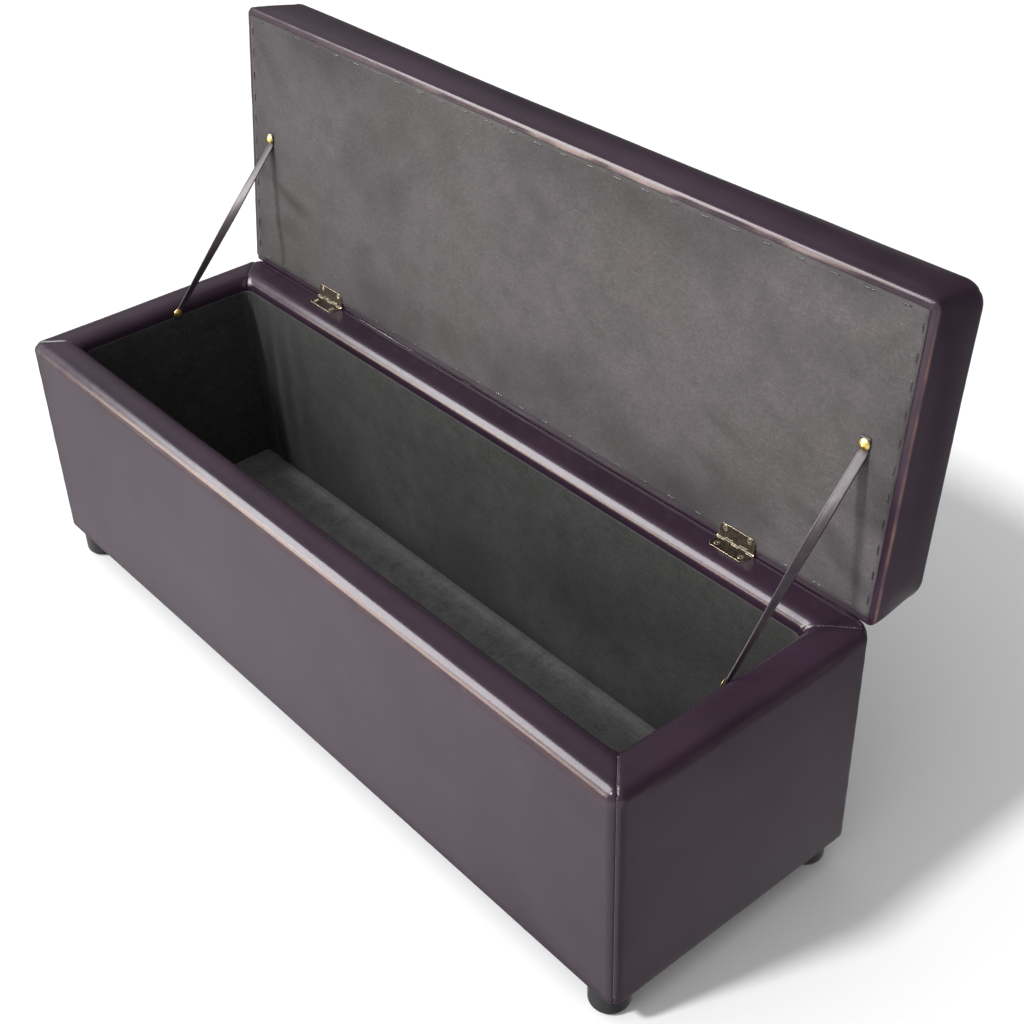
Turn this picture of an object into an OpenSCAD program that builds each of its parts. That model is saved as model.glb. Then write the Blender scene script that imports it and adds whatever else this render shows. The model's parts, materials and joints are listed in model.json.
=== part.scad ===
// Storage ottoman: an upholstered timber box on four bun feet, with a padded lid
// that swings on two butt hinges along the back rim and is held open by two straps.
// Millimetres, +Z up. The lid is drawn open, with both straps taut.
// The origin lies on the floor, at the middle of the outline with the lid open.

/* [Bench] */
// Width along X
bench_w = 1100; // [800:10:1300]
// Depth along Y
bench_d = 350; // [320:5:450]
// Height of the rim above the floor
rim_z = 328; // [280:1:420]
// Thickness of a finished wall, cover to lining
wall_t = 48; // [48:1:60]
// Radius of the upright corners
corner_r = 14; // [12:1:20]
// Radius of the outer edge of the rim
rim_edge_r = 7; // [5:0.5:9]
// Radius of the roll on the inner edge of the rim
rim_roll_r = 13; // [10:0.5:14]

/* [Lid] */
// Thickness of the lid
lid_t = 88; // [70:1:110]
// Space between the rim and the closed lid, which the hinge leaves fill
lid_gap = 2.5; // [2.5:0.1:4]
// Radius of the seat's top edges
seat_edge_r = 25; // [15:1:30]
// Angle that the straps let the lid open to
open_angle = 95.6; // [92:0.1:100]

/* [Upholstery] */
// Thickness of the leatherette
skin_t = 1.2; // [0.8:0.1:1.4]
// Thickness of the foam on the walls
wall_foam_t = 5; // [4:0.5:5]
// Thickness of the foam on the rim
rim_foam_t = 8; // [6:0.5:8]
// Thickness of the lining inside the box
lining_t = 1.6; // [1:0.1:2]
// Thickness of the lining under the lid
lid_lining_t = 1; // [0.6:0.1:1.2]
// Width of leatherette folded in under the box and under the lid
fold_w = 30; // [25:1:34]
// Width of the leatherette border left showing round the lid's lining
lid_border = 9; // [6:0.5:12]
// How far the box lining's top edge lies below the rim
lining_drop = 16; // [12:0.5:18]
// Thickness of the dust cover under the box
dust_t = 0.8; // [0.5:0.1:1]

/* [Timber frame] */
// Thickness of the wall panels and the bottom board
panel_t = 5; // [4:0.5:5]
// Section of a rail, across the wall
rail_w = 33; // [28:1:33]
// Section of a rail, upright
rail_h = 35; // [25:1:40]
// Height of the lid's rails
lid_rail_h = 30; // [20:1:34]
// Width of the lid's long rails
lid_rail_w = 44; // [40:1:60]
// Width of the lid's end rails
lid_end_rail_w = 60; // [55:1:80]
// Thickness of the lid's deck
deck_t = 3; // [3:0.5:6]
// Thickness of the padded floor inside the box
floor_pad_t = 3; // [2:0.5:4]

/* [Feet] */
// Height of a foot
foot_h = 38; // [25:1:60]
// Diameter of a foot
foot_d = 45; // [36:1:50]
// Distance of a foot's axis from the end of the box
foot_inset_x = 34; // [30:1:38]
// Distance of a foot's axis from the front or back of the box
foot_inset_y = 28; // [26:1:36]
// Radius of a foot's bottom edge
foot_edge_r = 8; // [4:1:12]
// Diameter of a foot's bolt
bolt_d = 8; // [6:1:8]

/* [Hinges] */
// Distance of each hinge from the middle of the bench
hinge_x = 367; // [200:1:370]
// Length of a hinge
hinge_len = 50; // [40:1:60]
// Width of a leaf from the pin's axis
leaf_w = 18; // [16:0.5:20]
// Thickness of a leaf
leaf_t = 1.2; // [1:0.1:1.2]
// Diameter of the pin
pin_d = 2.5; // [2:0.1:2.6]
// Distance of the pin's axis in front of the back of the box
pin_inset = 2.5; // [1.5:0.5:4]

/* [Straps] */
// Distance of a strap from the middle of the bench
strap_x = 501; // [351:0.5:501]
// Width of a strap
strap_w = 13; // [8:1:16]
// Thickness of a strap
strap_t = 1.6; // [1:0.1:2]
// Distance of the strap's tack on the lid from the hinge pin
lid_tack_reach = 185; // [150:1:220]
// Distance of the strap's tack in the box from the middle, towards the back
box_tack_y = 16; // [0:0.5:40]
// How far the strap's tack in the box lies below the rim
box_tack_drop = 10.5; // [10.5:0.5:14]
// Diameter of a tack's domed head
tack_head_d = 13; // [10:0.5:15]

/* [Hidden] */
$fn = 48;
eps = 0.01;

// Heights, from the floor up
cover_z = foot_h + dust_t;
board_z = cover_z + skin_t;
rail_z = board_z + panel_t;
floor_z = rail_z + floor_pad_t;
frame_top_z = rim_z - skin_t - rim_foam_t;

// Depths into a wall, from its outer face
panel_in = skin_t + wall_foam_t;
rail_in = panel_in + panel_t;
rail_out = rail_in + rail_w;
lining_in = wall_t - lining_t;
inner_fold_h = 36;

// The pin, and the frame that the whole object is drawn in
pin_y = bench_d / 2 - pin_inset;
pin_z = rim_z + lid_gap / 2;
seat_z = lid_gap / 2 + lid_t;
seat_arc_y = -(bench_d - pin_inset - seat_edge_r);
lid_reach = seat_arc_y * cos(open_angle) + (seat_z - seat_edge_r) * sin(open_angle) + seat_edge_r;
stand_y = -(pin_y + lid_reach - bench_d / 2) / 2;

// The lid, in its own frame: closed, with the origin on the pin's axis
lid_back_y = pin_inset;
lid_mid_y = pin_inset - bench_d / 2;
lid_lining_z = lid_gap / 2;
lid_cover_z = lid_lining_z + lid_lining_t;
lid_rail_z = lid_cover_z + skin_t;
lid_deck_z = lid_rail_z + lid_rail_h;
lid_edge_r = 7;
lid_timber_in = 8;

// Hinge and fasteners
knuckle_count = 5;
knuckle_r = 2.45;
knuckle_pitch = hinge_len / knuckle_count;
knuckle_gap = 0.3;
pin_clearance = 0.05;
pin_head_r = 2;
pin_head_t = 0.8;
barrel_room = 0.35;
leaf_face = 0.05;
leaf_corner = 4;
screw_r = 1.7;
screw_head_r = 3.3;
screw_hole_room = 0.15;
screw_dx = 17;
box_screw_y = -11;
lid_screw_y = -13.75;
box_screw_len = 22;
lid_screw_len = 16;
screw_tip = 3;
recess_l = 3.6;
recess_w = 0.9;
recess_deep = 0.9;
recess_turn = 25;
tack_head_h = 3.2;
tack_shank_r = 1.2;
tack_shank_len = 15;
strap_room = 0.3;
strap_hole_r = 1.6;
strap_tab = 8;
strap_steps = 24;
insert_r = 5.5;
insert_len = 20;
bolt_room = 0.05;
bolt_bottom_z = 14;
foot_hole_r = 6;
dust_inset = 4;
staple_crown = 10;
staple_leg = 7;
staple_wire = 1.2;
staple_room = staple_crown / 2 + 1;
lid_staple_in = 4;
lid_staple_pitch = 42;
lid_end_staple_pitch = 30;
underside_staple_pitch = 60;
underside_staple_in = 20;

// Colours
leatherette = "#4a3a42";
lining_grey = "#4b4a4c";
lid_grey = "#6e696b";
timber = "#c9a877";
foam_white = "#e8e4d8";
brass = "#c9a44c";
bronze = "#7a6a4e";
steel = "#9a9ea3";

// ---- Frames and outlines ----

module in_box() {
    translate([0, stand_y, 0])
        children();
}

module in_lid() {
    translate([0, stand_y + pin_y, pin_z])
        rotate([-open_angle, 0, 0])
            children();
}

module rounded_rect(w, d, r) {
    square([w - 2 * r, d], center = true);
    square([w, d - 2 * r], center = true);
    for (x = [-1, 1], y = [-1, 1])
        translate([x * (w / 2 - r), y * (d / 2 - r)])
            circle(r);
}

// An upright section w wide, from low to high, with its top and bottom edges rounded
module section(w, low, high, low_r, high_r) {
    translate([-w / 2, low + low_r])
        square([w, high - low - low_r - high_r]);
    translate([-w / 2 + high_r, low + low_r])
        square([w - 2 * high_r, high - low - low_r]);
    if (low_r > 0)
        translate([-w / 2 + low_r, low])
            square([w - 2 * low_r, high - low - high_r]);
    for (side = [-1, 1])
        translate([side * (w / 2 - high_r), high - high_r])
            circle(high_r);
    if (low_r > 0)
        for (side = [-1, 1])
            translate([side * (w / 2 - low_r), low + low_r])
                circle(low_r);
}

// A padded block: a rounded plan cut by the same edge section along X and along Y
module padded_block(w, d, plan_r, low, high, low_r, high_r) {
    intersection() {
        translate([0, 0, low])
            linear_extrude(high - low)
                rounded_rect(w, d, plan_r);
        rotate([90, 0, 90])
            linear_extrude(w, center = true)
                section(d, low, high, low_r, high_r);
        rotate([90, 0, 0])
            linear_extrude(d, center = true)
                section(w, low, high, low_r, high_r);
    }
}

// ---- Box: forms that the covers and the foam share ----

// The outline of the opening along one axis, flared at the top for the rolled inner edge
module opening_section(w, top, roll) {
    translate([-w / 2, 0])
        square([w, top + eps]);
    for (side = [-1, 1])
        difference() {
            translate([side * (w / 2 + roll / 2), top - roll / 2 + eps / 2])
                square([roll, roll + eps], center = true);
            translate([side * (w / 2 + roll), top - roll])
                circle(roll);
        }
}

module opening_form(inset) {
    top = rim_z - inset;
    roll = rim_roll_r - inset;
    w = bench_w - 2 * (lining_in - inset);
    d = bench_d - 2 * (lining_in - inset);
    intersection() {
        rotate([90, 0, 90])
            linear_extrude(bench_w, center = true)
                opening_section(d, top, roll);
        rotate([90, 0, 0])
            linear_extrude(bench_d, center = true)
                opening_section(w, top, roll);
    }
}

// The wall, measured inset from its upholstered surface
module wall_form(inset) {
    difference() {
        padded_block(bench_w - 2 * inset, bench_d - 2 * inset, corner_r - inset,
            cover_z + inset, rim_z - inset, 0, rim_edge_r - inset);
        opening_form(inset);
    }
}

// The space behind the leatherette that its folds don't reach
module unfolded_core() {
    translate([0, 0, cover_z - 1])
        linear_extrude(rim_z - inner_fold_h - cover_z + 1)
            square([bench_w - 2 * fold_w, bench_d - 2 * fold_w], center = true);
}

module frame_block() {
    translate([0, 0, cover_z - 1])
        linear_extrude(frame_top_z - cover_z + 1)
            square([bench_w - 2 * panel_in, bench_d - 2 * panel_in], center = true);
}

// The part of the box that belongs to one side, cut at 45 degrees at the corners
module mitre(side) {
    end = bench_w / 2 + 1;
    face = bench_d / 2 + 1;
    if (side == "front")
        linear_extrude(rim_z + 1)
            polygon([[-end, -face], [end, -face], [end - face, 0], [face - end, 0]]);
    if (side == "back")
        mirror([0, 1, 0])
            mitre("front");
    if (side == "left")
        linear_extrude(rim_z + 1)
            polygon([[-end, -face], [face - end, 0], [-end, face]]);
    if (side == "right")
        mirror([1, 0, 0])
            mitre("left");
}

module at_feet() {
    for (x = [-1, 1], y = [-1, 1])
        at_foot(x, y)
            children();
}

module at_foot(x, y) {
    translate([x * (bench_w / 2 - foot_inset_x), y * (bench_d / 2 - foot_inset_y), 0])
        children();
}

module at_pin_on_box() {
    translate([0, pin_y, pin_z])
        children();
}

// Room for the hinge barrels, drawn round the pin's axis
module barrel_rooms() {
    for (x = [-hinge_x, hinge_x])
        translate([x, 0, 0])
            rotate([0, 90, 0])
                cylinder(h = hinge_len + 4, r = knuckle_r + barrel_room, center = true);
}

// ---- Box: upholstery ----

module cover(side) {
    color(leatherette)
        in_box()
            difference() {
                intersection() {
                    wall_form(0);
                    mitre(side);
                }
                wall_form(skin_t);
                unfolded_core();
                at_feet()
                    cylinder(h = board_z + 1, r = foot_hole_r);
                if (side == "back")
                    at_pin_on_box()
                        barrel_rooms();
            }
}

module wall_foam(side) {
    color(foam_white)
        in_box()
            difference() {
                intersection() {
                    wall_form(skin_t);
                    mitre(side);
                }
                frame_block();
                if (side == "back")
                    at_pin_on_box()
                        barrel_rooms();
            }
}

// A lining panel from the bottom board to just below the rolled edge
module lining(side) {
    w = bench_w - 2 * wall_t;
    d = bench_d - 2 * wall_t;
    h = rim_z - lining_drop - rail_z;
    across = side == "front" || side == "back";
    sign = side == "front" || side == "left" ? -1 : 1;
    color(lining_grey)
        in_box()
            translate(across ? [0, sign * (d + lining_t) / 2, rail_z + h / 2]
                             : [sign * (w + lining_t) / 2, 0, rail_z + h / 2])
                cube(across ? [w + 2 * lining_t, lining_t, h] : [lining_t, d, h], center = true);
}

module floor_pad() {
    color(lining_grey)
        in_box()
            translate([0, 0, rail_z])
                linear_extrude(floor_pad_t)
                    square([bench_w - 2 * wall_t, bench_d - 2 * wall_t], center = true);
}

module dust_cover() {
    color("dimgray")
        in_box()
            difference() {
                translate([0, 0, foot_h])
                    linear_extrude(dust_t)
                        rounded_rect(bench_w - 2 * dust_inset, bench_d - 2 * dust_inset, corner_r - dust_inset);
                at_feet()
                    cylinder(h = cover_z + 1, r = foot_hole_r);
            }
}

// ---- Box: timber frame ----

// A bar along one side of the box, at a depth into the wall
module side_bar(side, depth, thick, low, high, short_by) {
    across = side == "front" || side == "back";
    sign = side == "front" || side == "left" ? -1 : 1;
    length = (across ? bench_w : bench_d) - 2 * short_by;
    place = (across ? bench_d : bench_w) / 2 - depth - thick / 2;
    translate(across ? [0, sign * place, (low + high) / 2] : [sign * place, 0, (low + high) / 2])
        cube(across ? [length, thick, high - low] : [thick, length, high - low], center = true);
}

module panel(side) {
    across = side == "front" || side == "back";
    color(timber)
        in_box()
            side_bar(side, panel_in, panel_t, rail_z, frame_top_z, across ? panel_in : rail_in);
}

module top_rail(side) {
    color(timber)
        in_box()
            side_bar(side, rail_in, rail_w, frame_top_z - rail_h, frame_top_z, rail_out);
}

module bottom_rail(side) {
    color(timber)
        in_box()
            side_bar(side, rail_in, rail_w, rail_z, rail_z + rail_h, rail_out);
}

module post(x, y) {
    place = rail_in + rail_w / 2;
    color(timber)
        in_box()
            difference() {
                translate([x * (bench_w / 2 - place), y * (bench_d / 2 - place), (rail_z + frame_top_z) / 2])
                    cube([rail_w, rail_w, frame_top_z - rail_z], center = true);
                at_foot(x, y)
                    cylinder(h = board_z + insert_len, r = insert_r);
            }
}

module bottom_board() {
    color(timber)
        in_box()
            difference() {
                translate([0, 0, board_z])
                    linear_extrude(panel_t)
                        square([bench_w - 2 * panel_in, bench_d - 2 * panel_in], center = true);
                at_feet()
                    cylinder(h = rail_z + 1, r = insert_r);
            }
}

// ---- Feet and their fasteners ----

module foot(x, y) {
    r = foot_d / 2;
    color("#1b1b1c")
        in_box()
            at_foot(x, y)
                difference() {
                    rotate_extrude()
                        intersection() {
                            union() {
                                translate([-r, foot_edge_r])
                                    square([2 * r, foot_h - foot_edge_r]);
                                square([r - foot_edge_r, foot_h]);
                                translate([r - foot_edge_r, foot_edge_r])
                                    circle(foot_edge_r);
                            }
                            square([r, foot_h]);
                        }
                    translate([0, 0, bolt_bottom_z - 1])
                        cylinder(h = foot_h, r = bolt_d / 2 + bolt_room);
                }
}

module foot_bolts() {
    color(steel)
        in_box()
            at_feet()
                translate([0, 0, bolt_bottom_z])
                    cylinder(h = board_z + insert_len - 2 - bolt_bottom_z, r = bolt_d / 2);
}

module foot_inserts() {
    color(brass)
        in_box()
            at_feet()
                translate([0, 0, board_z])
                    difference() {
                        cylinder(h = insert_len, r = insert_r);
                        translate([0, 0, -1])
                            cylinder(h = insert_len + 2, r = bolt_d / 2 + bolt_room);
                    }
}

// A staple with its crown on Z = 0 and its legs down, its crown along X
module staple() {
    translate([-staple_crown / 2, -staple_wire / 2, -staple_leg])
        difference() {
            cube([staple_crown, staple_wire, staple_leg + staple_wire / 2]);
            translate([staple_wire, -1, -1])
                cube([staple_crown - 2 * staple_wire, staple_wire + 2, staple_leg + 1]);
        }
}

// Whether a place lies within the radius of any of the given [x, y, radius] discs
function in_discs(p, discs) = len([for (c = discs) if (norm(p - [c.x, c.y]) < c.z) c]) > 0;

// Staples along the four sides of a w by d rectangle, at about the given pitches.
// Those whose middle lies in one of the discs are left out.
module staple_rows(w, d, pitch_w, pitch_d, discs) {
    count_w = round(w / pitch_w);
    count_d = round(d / pitch_d);
    for (side = [-1, 1], i = [0 : count_w - 1])
        let (p = [(i + 0.5 - count_w / 2) * w / count_w, side * d / 2])
            if (!in_discs(p, discs))
                translate(p)
                    staple();
    for (side = [-1, 1], i = [0 : count_d - 1])
        let (p = [side * w / 2, (i + 0.5 - count_d / 2) * d / count_d])
            if (!in_discs(p, discs))
                translate(p)
                    rotate([0, 0, 90])
                        staple();
}

module underside_staples() {
    w = bench_w - 2 * underside_staple_in;
    d = bench_d - 2 * underside_staple_in;
    foot_x = bench_w / 2 - foot_inset_x;
    foot_y = bench_d / 2 - foot_inset_y;
    foot_room = foot_d / 2 + staple_room;
    feet = [for (x = [-foot_x, foot_x], y = [-foot_y, foot_y]) [x, y, foot_room]];
    color(steel)
        in_box()
            translate([0, 0, foot_h])
                mirror([0, 0, 1])
                    staple_rows(w, d, underside_staple_pitch, underside_staple_pitch, feet);
}

// ---- Hinges, drawn round the pin's axis with the leaf towards the front and below it ----

module screw_holes(screw_y) {
    for (x = [-screw_dx, screw_dx])
        translate([x, screw_y, -leaf_face - leaf_t]) {
            translate([0, 0, -1])
                cylinder(h = leaf_t + 2, r = screw_r + screw_hole_room);
            cylinder(h = leaf_t + eps, r1 = screw_r + screw_hole_room, r2 = screw_head_r + screw_hole_room);
        }
}

module knuckle(i, r, length) {
    translate([-hinge_len / 2 + (i + 0.5) * knuckle_pitch, 0, 0])
        rotate([0, 90, 0])
            cylinder(h = length, r = r, center = true);
}

// A leaf that carries every second knuckle, starting at the first given
module hinge_leaf(first, screw_y) {
    half = hinge_len / 2;
    difference() {
        union() {
            translate([0, 0, -leaf_face - leaf_t])
                linear_extrude(leaf_t)
                    polygon([
                        [-half, 0], [-half, -leaf_w + leaf_corner], [-half + leaf_corner, -leaf_w],
                        [half - leaf_corner, -leaf_w], [half, -leaf_w + leaf_corner], [half, 0]
                    ]);
            for (i = [first : 2 : knuckle_count - 1])
                knuckle(i, knuckle_r, knuckle_pitch - knuckle_gap);
        }
        for (i = [1 - first : 2 : knuckle_count - 1])
            translate([-half + (i + 0.5) * knuckle_pitch, 0, 0])
                cube([knuckle_pitch + eps, 2 * (knuckle_r + barrel_room), 2 * knuckle_r], center = true);
        rotate([0, 90, 0])
            cylinder(h = hinge_len + 2, r = pin_d / 2 + pin_clearance, center = true);
        screw_holes(screw_y);
    }
}

module hinge_box_leaf(x) {
    color(bronze)
        in_box()
            at_pin_on_box()
                translate([x, 0, 0])
                    hinge_leaf(0, box_screw_y);
}

module hinge_lid_leaf(x) {
    color(bronze)
        in_lid()
            translate([x, 0, 0])
                mirror([0, 0, 1])
                    hinge_leaf(1, lid_screw_y);
}

module hinge_pin(x) {
    color(brass)
        in_box()
            at_pin_on_box()
                translate([x, 0, 0])
                    rotate([0, 90, 0]) {
                        cylinder(h = hinge_len + 2 * pin_head_t, r = pin_d / 2, center = true);
                        for (end = [-1, 1])
                            translate([0, 0, end * (hinge_len + pin_head_t) / 2])
                                cylinder(h = pin_head_t, r = pin_head_r, center = true);
                    }
}

// A countersunk screw pointing down, with its head's face on Z = 0 and a cross recess in it
module screw(length) {
    difference() {
        translate([0, 0, -leaf_t])
            cylinder(h = leaf_t, r1 = screw_r, r2 = screw_head_r);
        for (turn = [recess_turn, recess_turn + 90])
            rotate([0, 0, turn])
                cube([recess_l, recess_w, 2 * recess_deep], center = true);
    }
    translate([0, 0, screw_tip - length])
        cylinder(h = length - screw_tip - leaf_t, r = screw_r);
    translate([0, 0, -length])
        cylinder(h = screw_tip, r1 = 0, r2 = screw_r);
}

module screw_pairs(screw_y, length) {
    for (x = [-hinge_x, hinge_x], dx = [-screw_dx, screw_dx])
        translate([x + dx, screw_y, -leaf_face])
            screw(length);
}

module hinge_box_screws() {
    color(bronze)
        in_box()
            at_pin_on_box()
                screw_pairs(box_screw_y, box_screw_len);
}

module hinge_lid_screws() {
    color(bronze)
        in_lid()
            mirror([0, 0, 1])
                screw_pairs(lid_screw_y, lid_screw_len);
}

// ---- Straps and tacks ----

// A point of the open lid, given in the lid's frame, in the box's frame
function on_open_lid(y, z) = [
    strap_x,
    pin_y + y * cos(open_angle) + z * sin(open_angle),
    pin_z - y * sin(open_angle) + z * cos(open_angle)
];

strap_plane_z = lid_lining_z - strap_room - strap_t / 2;
strap_low = [strap_x, box_tack_y, rim_z - box_tack_drop];
strap_bend = on_open_lid(-lid_tack_reach + strap_tab, strap_plane_z);
strap_high = on_open_lid(-lid_tack_reach - strap_tab, strap_plane_z);
strap_dir = (strap_bend - strap_low) / norm(strap_bend - strap_low);
strap_foot = strap_low - strap_tab * strap_dir;

function smooth(t) = t * t * (3 - 2 * t);

// The four corners of the strap's section at a point, with its width turned by an angle about dir
function strap_ring(p, dir, turn) =
    let (edge = [0, -dir.z, dir.y])
    let (wide = cos(turn) * edge + [sin(turn), 0, 0])
    let (thick = cross(wide, dir))
    [for (c = [[-1, -1], [1, -1], [1, 1], [-1, 1]]) p + c.x * wide * strap_w / 2 + c.y * thick * strap_t / 2];

module strap_body() {
    lid_dir = (strap_high - strap_bend) / norm(strap_high - strap_bend);
    rings = [
        for (i = [0 : strap_steps])
            let (t = i / strap_steps)
                strap_ring(strap_foot + t * (strap_bend - strap_foot), strap_dir, -90 * smooth(t)),
        strap_ring(strap_high, lid_dir, -90)
    ];
    last = len(rings) - 1;
    sides = [
        for (i = [0 : last - 1], j = [0 : 3])
            let (a = 4 * i + j)
                let (b = 4 * i + (j + 1) % 4)
                    each [[a, b, b + 4], [a, b + 4, a + 4]]
    ];
    caps = [[3, 2, 1, 0], [4 * last, 4 * last + 1, 4 * last + 2, 4 * last + 3]];
    polyhedron(points = [for (ring = rings) each ring], faces = concat(sides, caps));
}

module strap(side) {
    color(leatherette)
        in_box()
            mirror([side < 0 ? 1 : 0, 0, 0])
                difference() {
                    strap_body();
                    translate([0, pin_y, pin_z])
                        rotate([-open_angle, 0, 0])
                            translate([strap_x, -lid_tack_reach, 0])
                                cylinder(h = 12, r = strap_hole_r, center = true);
                }
}

// A domed tack with its shank down, and the underside of its head on Z = 0
module tack() {
    head_r = tack_head_d / 2;
    ball_r = (head_r * head_r + tack_head_h * tack_head_h) / (2 * tack_head_h);
    rotate_extrude()
        intersection() {
            translate([0, tack_head_h - ball_r])
                circle(ball_r);
            square([head_r, tack_head_h]);
        }
    translate([0, 0, -tack_shank_len])
        cylinder(h = tack_shank_len + eps, r = tack_shank_r);
}

module strap_box_tacks() {
    color(brass)
        in_box()
            for (side = [0, 1])
                mirror([side, 0, 0])
                    translate([strap_x - strap_t / 2, box_tack_y, rim_z - box_tack_drop])
                        rotate([0, -90, 0])
                            tack();
}

module strap_lid_tacks() {
    head_z = strap_plane_z - strap_t / 2 - strap_room;
    color(brass)
        in_lid()
            for (x = [-strap_x, strap_x])
                translate([x, -lid_tack_reach, head_z])
                    mirror([0, 0, 1])
                        tack();
}

// ---- Lid ----

module at_lid_middle() {
    translate([0, lid_mid_y, 0])
        children();
}

module lid_form(inset) {
    at_lid_middle()
        padded_block(bench_w - 2 * inset, bench_d - 2 * inset, corner_r - inset,
            lid_cover_z + inset, seat_z - inset, lid_edge_r - inset, seat_edge_r - inset);
}

// The timber's outline, from the underside of the lid up to the top of the deck
module lid_timber_block() {
    at_lid_middle()
        linear_extrude(lid_deck_z + deck_t)
            square([bench_w - 2 * lid_timber_in, bench_d - 2 * lid_timber_in], center = true);
}

module lid_cover() {
    color(leatherette)
        in_lid()
            difference() {
                lid_form(0);
                lid_form(skin_t);
                at_lid_middle()
                    linear_extrude(lid_rail_z + eps)
                        square([bench_w - 2 * fold_w, bench_d - 2 * fold_w], center = true);
                barrel_rooms();
            }
}

module lid_foam() {
    color(foam_white)
        in_lid()
            difference() {
                lid_form(skin_t);
                lid_timber_block();
            }
}

module lid_lining() {
    w = bench_w - 2 * lid_border;
    d = bench_d - 2 * lid_border;
    color(lid_grey)
        in_lid()
            at_lid_middle()
                translate([0, 0, lid_lining_z])
                    linear_extrude(lid_lining_t)
                        square([w, d], center = true);
}

module lid_long_rail(side) {
    w = bench_w - 2 * lid_timber_in;
    place = bench_d / 2 - lid_timber_in - lid_rail_w / 2;
    color(timber)
        in_lid()
            translate([0, lid_mid_y + side * place, lid_rail_z + lid_rail_h / 2])
                cube([w, lid_rail_w, lid_rail_h], center = true);
}

module lid_end_rail(side) {
    d = bench_d - 2 * lid_timber_in - 2 * lid_rail_w;
    place = bench_w / 2 - lid_timber_in - lid_end_rail_w / 2;
    color(timber)
        in_lid()
            translate([side * place, lid_mid_y, lid_rail_z + lid_rail_h / 2])
                cube([lid_end_rail_w, d, lid_rail_h], center = true);
}

module lid_deck() {
    color(timber)
        in_lid()
            at_lid_middle()
                translate([0, 0, lid_deck_z])
                    linear_extrude(deck_t)
                        square([bench_w - 2 * lid_timber_in, bench_d - 2 * lid_timber_in], center = true);
}

module lid_staples() {
    w = bench_w - 2 * lid_border - 2 * lid_staple_in;
    d = bench_d - 2 * lid_border - 2 * lid_staple_in;
    hinges = [for (x = [-hinge_x, hinge_x]) [x, d / 2, hinge_len / 2 + staple_room]];
    color(steel)
        in_lid()
            at_lid_middle()
                translate([0, 0, lid_lining_z])
                    mirror([0, 0, 1])
                        staple_rows(w, d, lid_staple_pitch, lid_end_staple_pitch, hinges);
}

// ---- Nodes ----

cover("front");  // cover_front
cover("back");  // cover_back
cover("left");  // cover_left
cover("right");  // cover_right
wall_foam("front");  // wall_foam_front
wall_foam("back");  // wall_foam_back
wall_foam("left");  // wall_foam_left
wall_foam("right");  // wall_foam_right
panel("front");  // panel_front
panel("back");  // panel_back
panel("left");  // panel_left
panel("right");  // panel_right
top_rail("front");  // top_rail_front
top_rail("back");  // top_rail_back
top_rail("left");  // top_rail_left
top_rail("right");  // top_rail_right
bottom_rail("front");  // bottom_rail_front
bottom_rail("back");  // bottom_rail_back
bottom_rail("left");  // bottom_rail_left
bottom_rail("right");  // bottom_rail_right
post(-1, -1);  // post_front_left
post(1, -1);  // post_front_right
post(-1, 1);  // post_back_left
post(1, 1);  // post_back_right
lining("front");  // lining_front
lining("back");  // lining_back
lining("left");  // lining_left
lining("right");  // lining_right
bottom_board();
floor_pad();
dust_cover();
foot(-1, -1);  // foot_front_left
foot(1, -1);  // foot_front_right
foot(-1, 1);  // foot_back_left
foot(1, 1);  // foot_back_right
foot_bolts();
foot_inserts();
underside_staples();
hinge_box_leaf(-hinge_x);  // hinge_left_box_leaf
hinge_box_leaf(hinge_x);  // hinge_right_box_leaf
hinge_pin(-hinge_x);  // hinge_left_pin
hinge_pin(hinge_x);  // hinge_right_pin
hinge_box_screws();
strap(-1);  // strap_left
strap(1);  // strap_right
strap_box_tacks();
lid_long_rail(-1);  // lid_rail_front
lid_long_rail(1);  // lid_rail_back
lid_end_rail(-1);  // lid_rail_left
lid_end_rail(1);  // lid_rail_right
lid_deck();
lid_foam();
lid_cover();
lid_lining();
lid_staples();
hinge_lid_leaf(-hinge_x);  // hinge_left_lid_leaf
hinge_lid_leaf(hinge_x);  // hinge_right_lid_leaf
hinge_lid_screws();
strap_lid_tacks();
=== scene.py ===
"""Looks of the storage ottoman, in metres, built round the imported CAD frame."""

import json
import math

import bpy
from mathutils import Matrix, Vector, noise


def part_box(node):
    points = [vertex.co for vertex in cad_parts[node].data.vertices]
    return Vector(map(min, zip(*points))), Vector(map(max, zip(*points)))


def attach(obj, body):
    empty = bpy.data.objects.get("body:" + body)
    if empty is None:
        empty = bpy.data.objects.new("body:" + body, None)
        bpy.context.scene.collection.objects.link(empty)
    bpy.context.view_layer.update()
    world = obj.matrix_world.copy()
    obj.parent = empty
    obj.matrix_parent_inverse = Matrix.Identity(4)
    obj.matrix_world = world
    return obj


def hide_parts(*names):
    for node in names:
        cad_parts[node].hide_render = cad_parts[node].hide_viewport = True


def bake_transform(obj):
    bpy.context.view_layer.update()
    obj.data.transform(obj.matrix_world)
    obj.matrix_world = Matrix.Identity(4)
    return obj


MM = 0.001
QUARTER = math.pi / 4

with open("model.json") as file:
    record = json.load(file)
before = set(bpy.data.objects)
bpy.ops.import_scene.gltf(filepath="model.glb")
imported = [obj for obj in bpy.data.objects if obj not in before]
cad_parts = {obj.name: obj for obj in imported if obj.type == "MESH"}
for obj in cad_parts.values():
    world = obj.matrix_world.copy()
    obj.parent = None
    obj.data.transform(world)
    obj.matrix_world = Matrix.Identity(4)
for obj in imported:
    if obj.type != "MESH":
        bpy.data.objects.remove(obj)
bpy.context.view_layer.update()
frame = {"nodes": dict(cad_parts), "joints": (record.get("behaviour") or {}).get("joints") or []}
NODES = frame["nodes"]

# ---- Places worked out from the frame ----

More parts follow.
